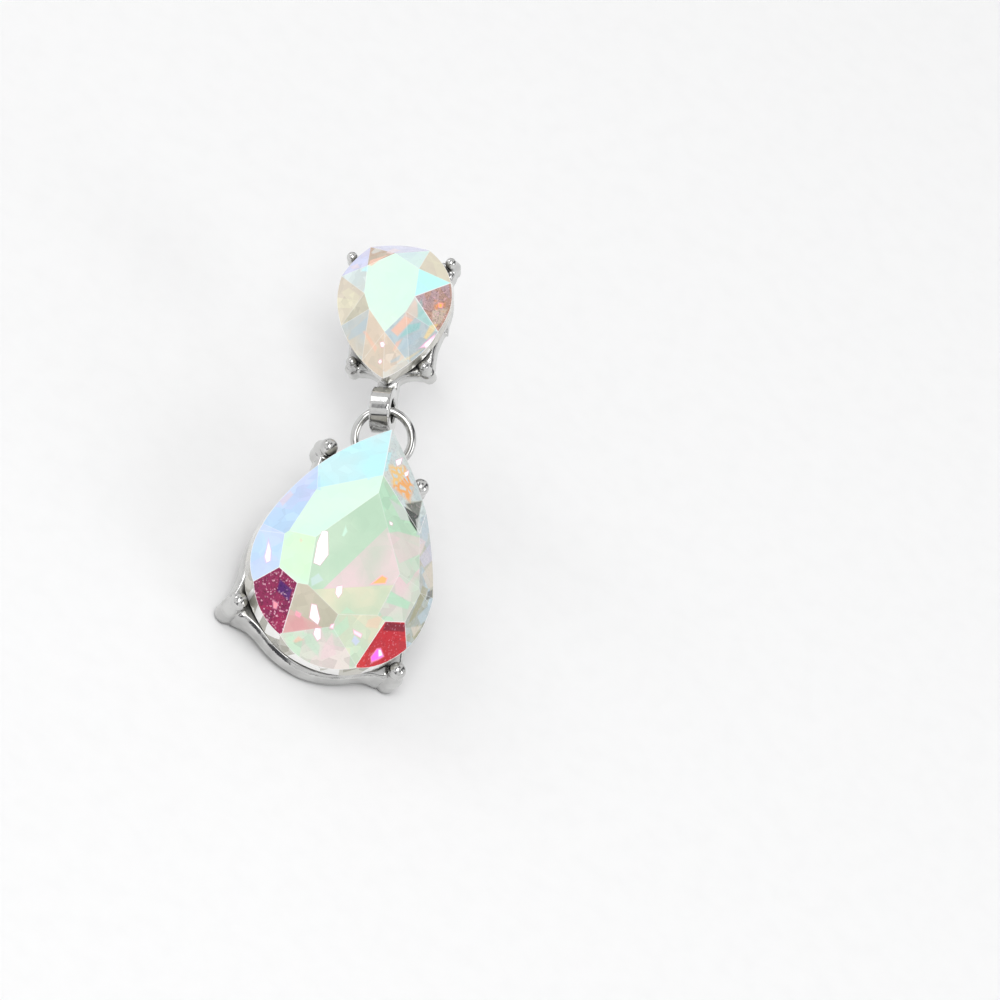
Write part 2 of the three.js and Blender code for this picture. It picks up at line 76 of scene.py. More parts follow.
# Fineness of the ring and the post, in steps, and of the castings: voxel in millimetres, how many rounds
# of smoothing and how strong each is
RING_STEPS = 128
WIRE_STEPS = 28
POST_STEPS = 40
TIP_STEPS = 10
CASTING_VOXEL = 0.075
CASTING_ROUNDS = 7
CASTING_SMOOTHING = 0.5

# Soft boxes, each where no facet mirrors it towards the camera: place and size in metres, watts
LIGHTS = (
    ("key", (-0.13, -0.27, 0.56), (0.35, 0.35), 1.3),
    ("fill", (0.48, -0.18, 0.30), (0.2, 0.3), 0.4),
    ("side", (-0.46, 0.17, 0.34), (0.2, 0.3), 0.4),
)
FLOOR_SIZE = 3

# The studio: how large its dark flags are, the noise values where they end and where it is fully
# bright, their shade, and its strength
FLAG_SCALE = 2.2
FLAG_END = 0.42
BRIGHT_START = 0.51
FLAG_SHADE = (0.10, 0.10, 0.11, 1)
STUDIO_STRENGTH = 0.88

# Colours as they look on a screen
SAGE = (0.80, 0.90, 0.80)
DEEP_SAGE = (0.70, 0.84, 0.73)
PINK = (0.95, 0.85, 0.86)
BEIGE = (0.92, 0.90, 0.79)
MINT = (0.86, 1.0, 0.92)
PALE_MINT = (0.90, 1.0, 0.92)
JADE = (0.75, 0.92, 0.80)
YELLOW_GREEN = (0.86, 1.0, 0.83)
CYAN = (0.77, 0.98, 1.0)
SKY = (0.75, 0.89, 1.0)
LILAC = (0.83, 0.86, 1.0)
PALE_LILAC = (0.82, 0.81, 0.91)
STONE_GREY = (0.77, 0.76, 0.68)
CLEAR_GREY = (0.86, 0.88, 0.86)
MIST = (0.85, 0.93, 0.94)
SLATE = (0.72, 0.80, 0.84)
OLIVE = (0.62, 0.60, 0.42)
DARK_OLIVE = (0.14, 0.19, 0.14)
GOLD = (1.0, 0.88, 0.60)
ORANGE = (1.0, 0.62, 0.30)
PEACH = (0.99, 0.79, 0.69)
PALE_PEACH = (0.92, 0.83, 0.74)
TEAL = (0.62, 0.83, 0.82)
AQUA = (0.77, 1.0, 0.97)
RASPBERRY = (0.66, 0.12, 0.33)
VIOLET = (0.29, 0.12, 0.46)
RED = (0.88, 0.25, 0.25)
CRIMSON = (0.78, 0.18, 0.24)
PLUM = (0.52, 0.10, 0.32)
DARK_RED = (0.50, 0.15, 0.22)
CORAL = (0.98, 0.52, 0.52)
ROSE = (0.90, 0.68, 0.68)
BROWN = (0.78, 0.62, 0.53)
MAUVE = (0.74, 0.64, 0.66)
SAND = (0.86, 0.82, 0.75)
WHITE = (1.0, 1.0, 1.0)
BLUSH = (1.0, 0.80, 0.88)
RIM = (0.96, 0.70, 0.82)
MAGENTA = (1.0, 0.35, 0.85)
FLANK = (0.76, 0.75, 0.71)
DULL = (0.58, 0.57, 0.52)

# Facets of the crowns: azimuth from the point and slope in degrees, colour, second colour, and how
# strongly the facets below show through as patches and as fine shards with painted sparkle
BIG_FACETS = (
    (0, 0, SAGE, DEEP_SAGE, 0.12, 0.1),
    (-48.8, 33.7, CYAN, MIST, 0.35, 0.0),
    (48.8, 33.7, CLEAR_GREY, MIST, 0.7, 0.6),
    (-57.3, 24, MINT, PALE_MINT, 0.2, 0.0),
    (57.3, 24, SAGE, JADE, 0.6, 0.2),
    (-67.9, 46, LILAC, SKY, 0.6, 0.15),
    (67.9, 46, SLATE, STONE_GREY, 0.9, 0.5),
    (-98.9, 20, YELLOW_GREEN, MINT, 0.3, 0.1),
    (98.9, 20, PINK, JADE, 0.6, 0.2),
    (-98.9, 52, SKY, LILAC, 0.4, 0.1),
    (98.9, 52, OLIVE, SLATE, 1.0, 0.5),
    (-156.7, 36, STONE_GREY, SAND, 0.35, 0.2),
    (156.7, 36, SAGE, BEIGE, 0.6, 0.2),
    (-135.9, 46, RASPBERRY, PLUM, 0.6, 1.0),
    (135.9, 46, RED, CRIMSON, 0.5, 0.6),
    (180, 53, SAGE, PINK, 0.7, 0.3),
)
SMALL_FACETS = (
    (0, 0, MINT, PALE_MINT, 0.15, 0.0),
    (180, 59.9, PALE_LILAC, LILAC, 0.6, 0.3),
    (-150.9, 39.8, MIST, PALE_MINT, 0.3, 0.1),
    (-128, 47.1, SAND, BEIGE, 0.4, 0.2),
    (-88.9, 35.6, AQUA, CYAN, 0.2, 0.0),
    (-83, 38.1, MAUVE, BROWN, 0.8, 0.9),
    (-66.7, 32.6, CLEAR_GREY, TEAL, 0.6, 0.1),
    (-54.4, 33.3, SAND, SLATE, 0.7, 0.4),
    (-50.8, 31.7, CLEAR_GREY, SLATE, 0.5, 0.2),
    (-35.9, 31.9, CLEAR_GREY, PALE_PEACH, 0.6, 0.3),
    (35.9, 31.9, SAND, PALE_PEACH, 0.4, 0.2),
    (50.8, 31.7, SAND, PALE_PEACH, 0.35, 0.1),
    (54.4, 33.3, SAND, SLATE, 0.3, 0.1),
    (66.7, 32.6, SAND, STONE_GREY, 0.7, 0.1),
    (83, 38.1, BEIGE, SAND, 0.6, 0.1),
    (88.9, 35.6, CLEAR_GREY, MIST, 0.7, 0.1),
    (128, 47.1, PALE_LILAC, LILAC, 0.6, 0.3),
    (150.9, 39.8, BROWN, STONE_GREY, 0.6, 0.5),
)

# Straight-edged patches inside one facet: the facet's azimuth and slope, a line in millimetres across
# it, and the colour on the line's right
BIG_PATCHES = (
    ((0, 0), (-1.17, -1.73), (1.16, 3.25), PINK),
    ((0, 0), (0.38, -1.5), (2.69, -0.3), BEIGE),
    ((57.3, 24), (1.2, 3.2), (5.2, 3.9), PINK),
    ((-156.7, 36), (-2.9, -4.3), (-0.3, -4.8), ROSE),
)
SMALL_PATCHES = (
    ((83, 38.1), (3.0, 0.6), (4.2, 0.2), SAND),
    ((-88.9, 35.6), (-1.6, -0.9), (-3.4, 0.2), CYAN),
)

# Patches that show through the crowns, and glints, which are painted highlights: colour, how far they
# cover, and corners in millimetres on the stone's face; the networks are the corners of where gold lines show
BIG_MARKS = (
    (CYAN, 0.7, ((-1.03, 8.66), (0.32, 9.56), (0.28, 7.84), (-0.86, 6.48), (-1.34, 7.19))),
    (SKY, 0.6, ((-4.47, 4.68), (-3.85, 5.94), (-3.62, 4.62), (-4.22, 4.56))),
    (PINK, 0.5, ((-5.78, 3.31), (-5.28, 4.32), (-5.08, 3.98), (-5.53, 2.87))),
    (MIST, 0.6, ((-2.56, -2.16), (-2.16, -1.57), (-1.7, -1.9), (-2.33, -2.66))),
    (JADE, 0.5, ((0.14, -3.63), (0.41, -3.01), (1.08, -3.18))),
    (PINK, 0.6, ((1.41, 3.16), (2.2, 3.79), (4.6, 4.65), (4.36, 3.33), (2.93, 1.55), (2.14, 2.29))),
    (JADE, 0.8, ((2.94, -0.64), (4.59, -0.54), (4.59, -1.09), (2.88, -1.53))),
    (STONE_GREY, 0.6, ((2.18, 6.41), (3.58, 7.57), (3.53, 6.09), (2.46, 5.75))),
    (CLEAR_GREY, 0.8, ((0.92, 5.76), (2.21, 5.8), (2.93, 5.16), (2.16, 4.8))),
    (DARK_OLIVE, 0.95, ((2.2, 5.95), (3.5, 6.1), (3.6, 4.7), (2.9, 5.1))),
    (SLATE, 0.7, ((3.55, 5.78), (4.5, 7.4), (4.73, 4.94), (3.66, 4.46))),
    (PALE_LILAC, 0.6, ((4.29, 2.88), (5.05, 4.92), (5.6, 3.9), (4.93, 2.61))),
    (SAND, 0.8, ((4.89, 1.95), (5.56, 3.76), (6.4, 2.4), (5.75, 1.43))),
    (DARK_OLIVE, 0.8, ((5.75, 1.19), (6.18, 1.76), (6.3, 1.16), (5.79, 0.51))),
    (OLIVE, 0.7, ((5.1, 1.13), (5.75, 1.43), (5.42, -0.99), (5.04, -1.89))),
    (SLATE, 0.8, ((5.6, -0.84), (6.34, 0.86), (6.6, -0.2), (6.17, -0.91))),
    (SAND, 0.8, ((5.39, -1.78), (6.3, -0.9), (5.97, -2.03))),
    (JADE, 0.5, ((0.12, -4.74), (0.65, -3.56), (1.12, -4.05), (0.67, -4.93))),
    (JADE, 0.5, ((-1.6, -5.32), (-0.92, -5.2), (-0.07, -5.57), (0.18, -6.05), (-0.97, -5.76))),
    (PINK, 0.6, ((0.14, -5.5), (0.23, -4.84), (1.19, -5.63), (0.42, -6.18))),
    (PEACH, 0.4, ((2.12, -3.16), (2.94, -2.48), (3.01, -3.3), (2.17, -3.57))),
    (PEACH, 0.7, ((-1.83, -5.86), (-1.68, -5.57), (-1.26, -5.62), (-1.64, -5.89))),
    (LILAC, 0.7, ((1.72, -4.29), (2.26, -4.45), (2.12, -4.78), (1.7, -4.67))),
    (MINT, 0.8, ((-1.46, 1.68), (-1.44, 2.46), (-1.2, 2.1), (-1.32, 1.67))),
    (BEIGE, 0.8, ((-4.03, 0.46), (-3.84, 0.32), (-3.9, 0.1), (-4.06, 0.25))),
    (ROSE, 0.6, ((-2.19, -5.45), (-2.34, -4.84), (-1.7, -4.71), (-1.3, -5.03))),
    (JADE, 0.9, ((0.96, 5.82), (1.1, 6.25), (1.56, 6.42), (1.54, 6.05))),
    (DARK_OLIVE, 0.7, ((2.29, 6.26), (3.52, 7.49), (3.53, 6.09), (2.98, 5.99))),
    (CLEAR_GREY, 0.7, ((3.3, 5.59), (3.61, 6.07), (4.02, 4.89), (3.73, 4.43))),
    (DARK_RED, 0.85, ((3.33, -2.74), (4.88, -2.0), (4.98, -2.42), (3.45, -3.2))),
    (VIOLET, 0.85, ((-4.34, -2.68), (-3.38, -3.17), (-3.27, -3.84), (-4.18, -3.35))),
)
# The glints are painted highlights
BIG_GLINTS = (
    (WHITE, 1.0, ((-2.81, 1.37), (-2.5, 1.48), (-1.97, -0.03), (-2.26, -0.97), (-2.69, -0.98),
                  (-2.88, 0.52))),
    (WHITE, 1.0, ((-1.81, -3.67), (-1.55, -3.65), (-0.97, -4.34), (-0.93, -4.63), (-1.57, -4.41))),
    (WHITE, 1.0, ((-0.92, -4.92), (-0.64, -4.86), (-0.33, -5.24), (-0.42, -5.36), (-0.84, -5.17))),
    (WHITE, 1.0, ((-5.7, -0.33), (-5.48, -0.81), (-5.32, -1.52), (-5.43, -1.62), (-5.61, -1.24))),
    (ORANGE, 0.9, ((2.03, 0.15), (2.41, 0.12), (2.4, -0.26), (1.53, -0.72))),
    (WHITE, 1.0, ((-0.67, -1.96), (-0.36, -1.75), (-0.25, -2.24), (-0.36, -2.6), (-0.6, -2.4))),
    (BLUSH, 0.9, ((-0.11, -4.46), (0.03, -4.38), (0.08, -4.59), (-0.09, -4.61))),
    (MAGENTA, 0.9, ((3.67, -4.23), (3.9, -4.08), (4.35, -4.27), (4.13, -4.56), (3.72, -4.97), (3.52, -4.8))),
    (WHITE, 1.0, ((3.85, -4.2), (3.98, -4.15), (4.2, -4.28), (4.04, -4.42))),
    (CORAL, 0.8, ((-4.06, -4.01), (-3.81, -4.11), (-3.77, -4.36), (-3.9, -4.34))),
    (CORAL, 0.6, ((-2.54, -4.31), (-2.2, -4.38), (-2.2, -4.55), (-2.47, -4.5))),
    (BLUSH, 0.9, ((1.51, -4.09), (2.15, -4.06), (2.17, -4.22), (1.64, -4.22))),
    (WHITE, 0.9, ((0.8, 9.16), (1.23, 9.7), (1.2, 9.19), (0.97, 8.85))),
    (WHITE, 0.9, ((1.69, 8.69), (1.97, 9.1), (1.98, 8.71), (1.81, 8.49))),
    (WHITE, 0.9, ((1.4, 4.1), (1.6, 4.12), (1.62, 3.98), (1.46, 3.95))),
)
BIG_NETWORK = ((0.22, 8.36), (1.6, 9.4), (2.67, 8.16), (2.6, 6.6), (0.9, 6.74))
SMALL_MARKS = (
    (PEACH, 0.85, ((-0.39, 2.95), (-1.22, 1.86), (-1.78, 1.97), (-0.83, 3.23))),
    (PEACH, 0.4, ((-1.13, 1.88), (-1.78, 0.63), (-2.0, 0.92), (-2.05, 1.77), (-1.69, 1.95))),
    (TEAL, 0.8, ((-0.97, 3.25), (-1.52, 2.35), (-2.25, 2.05), (-2.18, 2.48), (-1.11, 3.22))),
    (SLATE, 0.6, ((-1.1, 3.96), (-1.56, 3.04), (-2.37, 2.54), (-2.3, 2.92), (-1.25, 4.03))),
    (PEACH, 0.7, ((-0.59, 4.19), (-0.76, 3.62), (-1.13, 3.36), (-0.87, 3.96))),
    (GOLD, 0.7, ((-2.49, 2.97), (-2.85, 2.1), (-3.33, 1.82), (-3.15, 2.36), (-2.68, 3.02))),
    (SLATE, 0.6, ((2.81, 3.25), (2.57, 2.76), (1.3, 2.01), (1.56, 2.95), (2.69, 3.4))),
    (PEACH, 0.6, ((1.68, 2.94), (1.46, 2.92), (0.52, 4.08), (0.66, 4.35))),
    (TEAL, 0.5, ((-1.94, 0.93), (-2.21, 0.45), (-2.39, 1.4), (-2.09, 1.67))),
    (SLATE, 0.6, ((-0.43, 4.84), (-1.12, 4.33), (-0.99, 4.7), (-0.48, 4.97))),
    (PINK, 0.7, ((0.69, -2.68), (0.46, -3.43), (-0.15, -3.17), (0.22, -2.5))),
    (CLEAR_GREY, 0.7, ((1.87, -2.85), (1.64, -3.36), (1.08, -2.92), (1.72, -2.7))),
    (PEACH, 0.8, ((1.73, -1.6), (1.72, -2.08), (0.53, -2.46), (1.51, -1.57))),
    (CYAN, 0.7, ((2.19, -1.4), (1.76, -1.55), (1.74, -1.13), (2.22, -1.25))),
    (BEIGE, 0.7, ((3.05, 0.3), (2.6, 0.18), (2.66, 0.67))),
    (SAND, 0.6, ((-2.9, 1.05), (-3.83, 0.54), (-3.5, 1.76), (-2.99, 2.02))),
    (PINK, 0.5, ((3.31, -1.95), (2.76, -2.06), (2.45, -1.58), (3.04, -1.61))),
    (BEIGE, 0.5, ((3.66, -0.02), (3.11, -0.22), (2.09, 0.57), (2.45, 1.51))),
    (GOLD, 0.4, ((-1.28, 4.66), (-2.52, 3.61), (-2.7, 3.48), (-1.65, 4.54))),
)
# The glints are painted highlights
SMALL_GLINTS = (
    (WHITE, 1.0, ((0.28, 3.79), (0.1, 3.76), (0.0, 3.9), (0.08, 4.03), (0.22, 4.0))),
    (WHITE, 1.0, ((0.33, 4.87), (0.2, 4.84), (0.17, 4.97), (0.27, 5.04), (0.36, 4.97))),
    (BLUSH, 0.9, ((-2.34, 3.61), (-2.69, 3.21), (-3.16, 2.64), (-3.12, 2.91), (-2.82, 3.42))),
    (WHITE, 1.0, ((-2.6, 3.36), (-2.95, 2.96), (-2.92, 3.25), (-2.66, 3.54))),
    (ORANGE, 1.0, ((-3.24, 0.43), (-3.46, 0.41), (-3.44, 0.67), (-3.29, 0.7))),
)
SMALL_NETWORK = ((-3.0, 0.3), (-3.0, 0.9), (-3.6, 0.9), (-3.6, 0.3))

# Cells to the millimetre: the broad cells of each stone and those of the gold network; then how much
# finer than its broad cells a stone's other cells are
BIG_CELLS = 0.42
SMALL_CELLS = 0.55
NETWORK_CELLS = 1.6
FINE_CELLS = 3.1
TINY_CELLS = 24

# Half the width of a patch's blurred edge and the width of the pink rim of a painted glint, in millimetres
MARK_SOFTNESS = 0.05
GLINT_RIM = 0.1

# How the crystals give light: the share of their colour that they scatter, and their painted glow
# outside and inside the painted glints
SCATTER = 0.88
GLOW = 0.12
GLINT_GLOW = 0.8

# Plated metal: the reach in millimetres of what hides a spot, the colour of the painted shade in hidden
# spots, how much of it they take, and how dark the worn metal is beside the bright
HIDDEN_REACH = 0.7
RECESS_SHADE = (0.06, 0.06, 0.065, 1)
RECESS_SHADE_COVER = 0.85
WORN = 0.86

# From the solids' triangles to facets: points closer than this are one, front corners closer than this
# are one, and front triangles are joined up to this angle in degrees
MERGE = 0.002
SHORT_EDGE = 0.06
JOIN_ANGLE = 2

# A front facet: the least Z of its normal, and how far its middle can lie behind the girdle
FLAT_FACET = 0.05
CROWN_REACH = 0.9

# Painted highlights along the facets' edges: their width, how broad a facet has to be to have one, how
# white they are beside calm facets and beside busy ones or the flank, and the sparkle of a busy facet
RIM_WIDTH = 0.03
BROAD_FACET = 0.15
FAINT_EDGE_HIGHLIGHT = 0.25
BRIGHT_EDGE_HIGHLIGHT = 0.75
BUSY_FACET = 0.6

# A stone's material slots after the crown's own, which is the first
FLANK_SLOT = 1
FOIL_SLOT = 2

# Sockets of Blender's Mix node that hold colours
MIX_FIRST = 6
MIX_SECOND = 7
MIX_RESULT = 2


def linear(colour):
    """A colour as it looks on a screen, as the light that makes it."""
    return tuple(((c + 0.055) / 1.055) ** 2.4 if c > 0.04 else c / 12.92 for c in colour)


def place_matrix(place):
    """A piece's own frame as a matrix, with its origin in metres."""
    origin, *axes = place
    matrix = Matrix(axes).transposed().to_4x4()
    matrix.translation = Vector(origin) * MM
    return matrix


def add_object(name, mesh, node, matrix=None):
    """Links a mesh, moved by the matrix if one is given, as the piece that stands for a node, and hides the
    node's part.
    """
    if matrix:
        mesh.transform(matrix)
    piece = bpy.data.objects.new(name, mesh)
    bpy.context.scene.collection.objects.link(piece)
    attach(piece, "root")
    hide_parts(node)
    return piece


class Graph:
    """A node material under construction."""

    def __init__(self, name):
        self.material = bpy.data.materials.new(name)
        self.material.use_nodes = True
        self.tree = self.material.node_tree
        self.tree.nodes.clear()

    def node(self, kind, inputs=None, **settings):
        node = self.tree.nodes.new("ShaderNode" + kind)
        for key, value in settings.items():
            setattr(node, key, value)
        for key, value in (inputs or {}).items():
            if isinstance(value, bpy.types.NodeSocket):
                self.tree.links.new(value, node.inputs[key])
            else:
                node.inputs[key].default_value = value
        return node

    def maths(self, operation, *values):
        return self.node("Math", dict(enumerate(values)), operation=operation).outputs[0]

    def vector_maths(self, operation, *values):
        node = self.node("VectorMath", dict(enumerate(values)), operation=operation)
        return node.outputs["Value" if operation == "DOT_PRODUCT" else "Vector"]

    def ramp(self, value, low, high, to_low=0.0, to_high=1.0):
        inputs = {"Value": value, "From Min": low, "From Max": high, "To Min": to_low, "To Max": to_high}
        return self.node("MapRange", inputs).outputs["Result"]

    def mix(self, factor, first, second, blend="MIX"):
        inputs = {"Factor": factor, MIX_FIRST: first, MIX_SECOND: second}
        return self.node("Mix", inputs, data_type="RGBA", blend_type=blend).outputs[MIX_RESULT]

    def attribute(self, name, output="Fac"):
        return self.node("Attribute", attribute_name=name).outputs[output]

    def cells(self, place, scale):
        """A random colour for each cell of a pattern, whole and as three separate values."""
        colour = self.node("TexVoronoi", {"Vector": place, "Scale": scale}).outputs["Color"]
        return colour, self.node("SeparateColor", {"Color": colour}).outputs

    def noise(self, place, scale, detail):
        return self.node("TexNoise", {"Vector": place, "Scale": scale, "Detail": detail}).outputs[0]

    def place(self, matrix=Matrix()):
        """The surface's place in a piece's own frame, in millimetres."""
        coordinate = self.node("TexCoord").outputs["Object"]
        inputs = {"Vector": coordinate, "Location": matrix.translation, "Rotation": matrix.to_euler(),
                  "Scale": (MM,) * 3}
        return self.node("Mapping", inputs, vector_type="TEXTURE").outputs[0]

    def finish(self, shader):
        self.node("OutputMaterial", {"Surface": shader.outputs[0]})
        return self.material


def rgba(colour):
    return (*linear(colour), 1)


def patch_mask(graph, depth, cover):
    """How much of a patch's colour shows, from how deep inside the patch the surface lies."""
    return graph.ramp(depth, -MARK_SOFTNESS, MARK_SOFTNESS, 0.0, cover)


def inside(graph, place, corners):
    """How deep the surface lies inside a patch of the stone's face, in millimetres; below 0 outside."""
    points = [Vector((x, y, 0)) for x, y in corners]
    middle = sum(points, Vector()) / len(points)
    depth = None
    for first, second in zip(points, points[1:] + points[:1]):
        along = (second - first).normalized()
        inward = Vector((-along.y, along.x, 0))
        if inward.dot(middle - first) < 0:
            inward = -inward
        reach = graph.vector_maths("DOT_PRODUCT", place, inward)
        reach = graph.maths("SUBTRACT", reach, inward.dot(first))
        depth = reach if depth is None else graph.maths("MINIMUM", depth, reach)
    return depth


def crystal_material(name, matrix, cells, marks, glints, network):
    """Coated, foil-backed crystal: facet colours, the patches of the facets below, painted sparkle, painted
    glints, painted edge highlights and a painted glow.
    """
    graph = Graph(name)
    place = graph.place(matrix)
    second = graph.attribute("second", "Color")
    patchy = graph.attribute("patchy")
    shards_and_sparkle = graph.attribute("shards_and_sparkle")
    _, broad = graph.cells(place, cells)
    fine_colour, fine = graph.cells(place, cells * FINE_CELLS)
    _, tiny = graph.cells(place, cells * TINY_CELLS)

    # The facet's colour, with its second one in clouds, broad cells and fine shards
    clouds = graph.ramp(graph.noise(place, 0.35, 1.0), 0.35, 0.65, 0.0, 0.5)
    colour = graph.mix(clouds, graph.attribute("tint", "Color"), second)
    colour = graph.mix(graph.maths("MULTIPLY", graph.ramp(broad[0], 0.5, 0.62), patchy), colour, second)
    shards = graph.maths("MULTIPLY", graph.ramp(fine[0], 0.6, 0.72), graph.maths("MULTIPLY", shards_and_sparkle, 0.7))
    colour = graph.mix(shards, colour, second)
    light = graph.ramp(fine[1], 0.0, 1.0, 0.84, 1.12)
    variation = graph.mix(graph.ramp(patchy, 0.2, 1.0, 0.1, 1.0), (1, 1, 1, 1), light)
    colour = graph.mix(1.0, colour, variation, "MULTIPLY")

    for mark_colour, cover, corners in marks:
        mask = patch_mask(graph, inside(graph, place, corners), cover)
        colour = graph.mix(mask, colour, rgba(mark_colour))

    # Painted sparkle: fine dark and light flecks painted into the colour
    speckle = graph.maths("POWER", shards_and_sparkle, 2.0)
    dark = graph.maths("MULTIPLY", graph.ramp(tiny[0], 0.7, 0.9), graph.maths("MULTIPLY", speckle, 0.6))
    colour = graph.mix(dark, colour, graph.mix(1.0, colour, (0.35, 0.3, 0.36, 1), "MULTIPLY"))
    spark = graph.maths("MULTIPLY", graph.ramp(tiny[1], 0.86, 0.98), graph.maths("MULTIPLY", speckle, 0.55))
    colour = graph.mix(spark, colour, rgba(BLUSH))

    # The gold network
    lines = graph.node("TexVoronoi", {"Vector": place, "Scale": NETWORK_CELLS},
                       feature="DISTANCE_TO_EDGE").outputs[0]
    lines = graph.ramp(lines, 0.1, 0.26, 1.0, 0.0)
    region = graph.ramp(inside(graph, place, network), -0.1, 0.25, 0.0, 1.0)
    gold = graph.mix(broad[1], rgba(ORANGE), rgba(GOLD))
    colour = graph.mix(graph.maths("MULTIPLY", lines, region), colour, gold)

    # Painted glints, each with a pink rim; shine is how strongly the sparkle and the glints glow as painted
    # light
    shine = graph.maths("MULTIPLY", spark, 0.3)
    for glint_colour, cover, corners in glints:
        depth = inside(graph, place, corners)
        colour = graph.mix(graph.ramp(depth, -GLINT_RIM, 0.0, 0.0, 0.7), colour, rgba(RIM))
        mask = patch_mask(graph, depth, cover)
        colour = graph.mix(mask, colour, rgba(glint_colour))
        shine = graph.maths("MAXIMUM", shine, mask)
    # Painted highlights along the facets' edges
    colour = graph.mix(graph.attribute("edge"), colour, rgba(WHITE))

    # The fine cells of a busy facet lean a little, each its own way
    lean = graph.vector_maths("SUBTRACT", fine_colour, (0.5, 0.5, 0.5))
    strength = graph.ramp(shards_and_sparkle, 0.0, 1.0, 0.04, 0.4)
    lean = graph.node("VectorMath", {0: lean, "Scale": strength}, operation="SCALE").outputs[0]
    normal = graph.node("NewGeometry").outputs["Normal"]
    normal = graph.vector_maths("NORMALIZE", graph.vector_maths("ADD", normal, lean))

    # The emission is a painted glow, faint over the crystal and strong in the glints
    scattered = graph.mix(1.0, colour, (SCATTER, SCATTER, SCATTER, 1), "MULTIPLY")
    inputs = {"Base Color": scattered, "Roughness": 0.25, "IOR": 1.45, "Specular IOR Level": 0.3,
              "Coat Weight": 0.7, "Coat Roughness": 0.02, "Coat IOR": 1.5, "Normal": normal,
              "Emission Color": colour, "Emission Strength": graph.ramp(shine, 0.0, 1.0, GLOW, GLINT_GLOW)}
    return graph.finish(graph.node("BsdfPrincipled", inputs))


def flank_material(name):
    """The clear side of a stone: pale glass with upright bands of light from the foil."""
    graph = Graph(name)
    place = graph.place()
    stretched = graph.node("Mapping", {"Vector": place, "Scale": (1.0, 1.0, 0.25)}).outputs[0]
    _, bands = graph.cells(stretched, 1.1)
    colour = graph.mix(graph.ramp(bands[0], 0.3, 0.8, 0.0, 0.8), rgba(FLANK), rgba(DULL))
    colour = graph.mix(graph.ramp(bands[1], 0.75, 0.8, 0.0, 0.7), colour, rgba(WHITE))
    # The white bands and the faint emission are painted light from the foil
    inputs = {"Base Color": colour, "Roughness": 0.12, "IOR": 1.55, "Metallic": 0.25,
              "Coat Weight": 1.0, "Coat Roughness": 0.02, "Emission Color": colour, "Emission Strength": 0.08}
    return graph.finish(graph.node("BsdfPrincipled", inputs))


def foil_material(name):
    """The foiled back of a stone: silver paint over flat facets, a little uneven."""
    graph = Graph(name)
    place = graph.place()
    blotch = graph.noise(place, 1.3, 4.0)
    speck = graph.noise(place, 14.0, 3.0)
    colour = graph.mix(graph.ramp(blotch, 0.35, 0.65), (0.50, 0.49, 0.46, 1), (0.68, 0.67, 0.64, 1))
    bump = graph.node("Bump", {"Height": speck, "Strength": 0.25, "Distance": 0.02 * MM}).outputs[0]
    inputs = {"Base Color": colour, "Metallic": 0.85, "Normal": bump,
              "Roughness": graph.ramp(blotch, 0.3, 0.7, 0.3, 0.42)}
    return graph.finish(graph.node("BsdfPrincipled", inputs))


def metal_material(name, shade, roughness, relief):
    """Bright plated metal: soft unevenness, and painted shade where the metal is hidden in recesses and
    between parts.
    """
    graph = Graph(name)
    place = graph.place()
    soft = graph.noise(place, 0.9, 2.0)
    skin = graph.noise(place, 9.0, 4.0)
    # Painted shade: near black where nearby metal or stones hide a spot
    hidden = graph.node("AmbientOcclusion", {"Distance": HIDDEN_REACH * MM}, samples=8).outputs["AO"]
    painted_shade = graph.ramp(hidden, 0.2, 0.75, 1.0, 0.0)
    bright = tuple(shade) + (1,)
    worn = tuple(c * WORN for c in shade) + (1,)
    colour = graph.mix(graph.ramp(soft, 0.4, 0.6), bright, worn)
    colour = graph.mix(graph.maths("MULTIPLY", painted_shade, RECESS_SHADE_COVER), colour, RECESS_SHADE)
    rough = graph.ramp(skin, 0.3, 0.7, roughness * 0.7, roughness * 1.5)
    low = graph.node("Bump", {"Height": soft, "Strength": 0.5, "Distance": relief * MM}).outputs[0]
    bump = graph.node("Bump", {"Height": skin, "Strength": 0.35, "Distance": relief * 0.15 * MM,
                               "Normal": low}).outputs[0]
    inputs = {"Base Color": colour, "Metallic": 1.0, "Roughness": rough, "Normal": bump}
    return graph.finish(graph.node("BsdfPrincipled", inputs))


def floor_material(name):
    graph = Graph(name)
    place = graph.place()
    paper = graph.noise(place, 0.6, 6.0)
    colour = graph.mix(graph.ramp(paper, 0.3, 0.7), (0.93, 0.93, 0.93, 1), (0.95, 0.95, 0.95, 1))
    return graph.finish(graph.node("BsdfPrincipled", {"Base Color": colour, "Roughness": 0.8}))


def facet_direction(azimuth, slope):
    flat = sin(radians(slope))
    return Vector((flat * sin(radians(azimuth)), flat * cos(radians(azimuth)), cos(radians(slope))))


def nearest(facets, normal):
    return max(facets, key=lambda facet: facet_direction(facet[0], facet[1]).dot(normal))


def split_facet(bm, faces, start, end):
    """Splits flat faces along the upright plane through two points; says which lie on its right."""
    along = Vector((end[0] - start[0], end[1] - start[1], 0)).normalized()
    across = Vector((along.y, -along.x, 0))
    edges = {edge for face in faces for edge in face.edges}
    verts = {vert for face in faces for vert in face.verts}
    geometry = [*verts, *edges, *faces]
    point = Vector((start[0], start[1], 0))
    bmesh.ops.bisect_plane(bm, geom=geometry, dist=MERGE, plane_co=point, plane_no=across)
    return lambda face: (face.calc_center_median() - point).dot(across) > 0


def crown(face):
    """Whether a face is a front facet, and not a sliver at the back whose normal says little."""
    return face.normal.z > FLAT_FACET and face.calc_center_median().z > -CROWN_REACH


